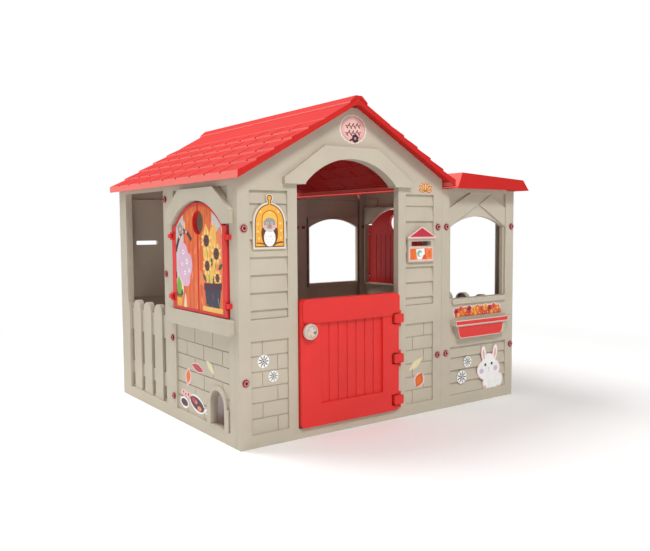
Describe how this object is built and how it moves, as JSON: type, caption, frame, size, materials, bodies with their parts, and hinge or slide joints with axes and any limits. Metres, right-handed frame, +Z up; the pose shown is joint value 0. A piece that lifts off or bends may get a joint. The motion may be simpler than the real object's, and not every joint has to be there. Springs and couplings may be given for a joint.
{
  "type": "playhouse",
  "caption": "Gabled moulded plastic playhouse with a lower annex, a half door that swings out, arched shuttered windows, picket openings and a planter box.",
  "frame": {"origin": "on the ground, under the middle of the rectangle that bounds the roofs", "axes": "+X from the gabled house towards the annex, along the front; +Y from the front with the half door to the back; +Z up"},
  "size_m": [1.228, 1.031, 1.043],
  "materials": {
    "wall_plastic": "satin",
    "roof_plastic": "satin",
    "red_plastic": "satin",
    "knob_plastic": "satin",
    "bolt_plastic": "satin"
  },
  "bodies": {
    "house": {"front_wall": "wall_plastic", "rear_wall": "wall_plastic", "left_window_wall": "wall_plastic", "right_window_wall": "wall_plastic", "left_fence_wall": "wall_plastic", "right_fence_wall": "wall_plastic", "annex_front_wall": "wall_plastic", "annex_rear_wall": "wall_plastic", "front_joining_post": "wall_plastic", "rear_joining_post": "wall_plastic", "roof_left": "roof_plastic", "roof_right": "roof_plastic", "roof_ridge_cap": "roof_plastic", "annex_roof": "roof_plastic", "door_hinge_clips": "red_plastic", "left_shutter_clips": "red_plastic", "right_shutter_clips": "red_plastic", "planter_box": "wall_plastic", "wall_bolts": "bolt_plastic", "wall_nuts": "bolt_plastic"},
    "door": {"door": "red_plastic"},
    "knob": {"door_knob": "knob_plastic", "door_latch": "red_plastic"},
    "left_front_leaf": {"left_shutter_front": "red_plastic"},
    "left_rear_leaf": {"left_shutter_rear": "red_plastic"},
    "right_front_leaf": {"right_shutter_front": "red_plastic"},
    "right_rear_leaf": {"right_shutter_rear": "red_plastic"}
  },
  "joints": [
    {"name": "door_hinge", "type": "hinge", "parent": "house", "child": "door", "pos_m": [0.007, -0.4775, 0.2], "axis": [0, 0, 1], "range_deg": [0, 110]},
    {"name": "knob_turn", "type": "hinge", "parent": "door", "child": "knob", "pos_m": [-0.361, -0.4775, 0.329], "axis": [0, 1, 0], "range_deg": [0, 90]},
    {"name": "left_front_shutter_hinge", "type": "hinge", "parent": "house", "child": "left_front_leaf", "pos_m": [-0.6016, -0.41, 0.5165], "axis": [0, 0, 1], "range_deg": [0, 110]},
    {"name": "left_rear_shutter_hinge", "type": "hinge", "parent": "house", "child": "left_rear_leaf", "pos_m": [-0.6016, -0.03, 0.5165], "axis": [0, 0, -1], "range_deg": [0, 110]},
    {"name": "right_front_shutter_hinge", "type": "hinge", "parent": "house", "child": "right_front_leaf", "pos_m": [0.5976, 0.008, 0.5165], "axis": [0, 0, -1], "range_deg": [0, 110]},
    {"name": "right_rear_shutter_hinge", "type": "hinge", "parent": "house", "child": "right_rear_leaf", "pos_m": [0.5976, 0.388, 0.5165], "axis": [0, 0, 1], "range_deg": [0, 110]}
  ]
}
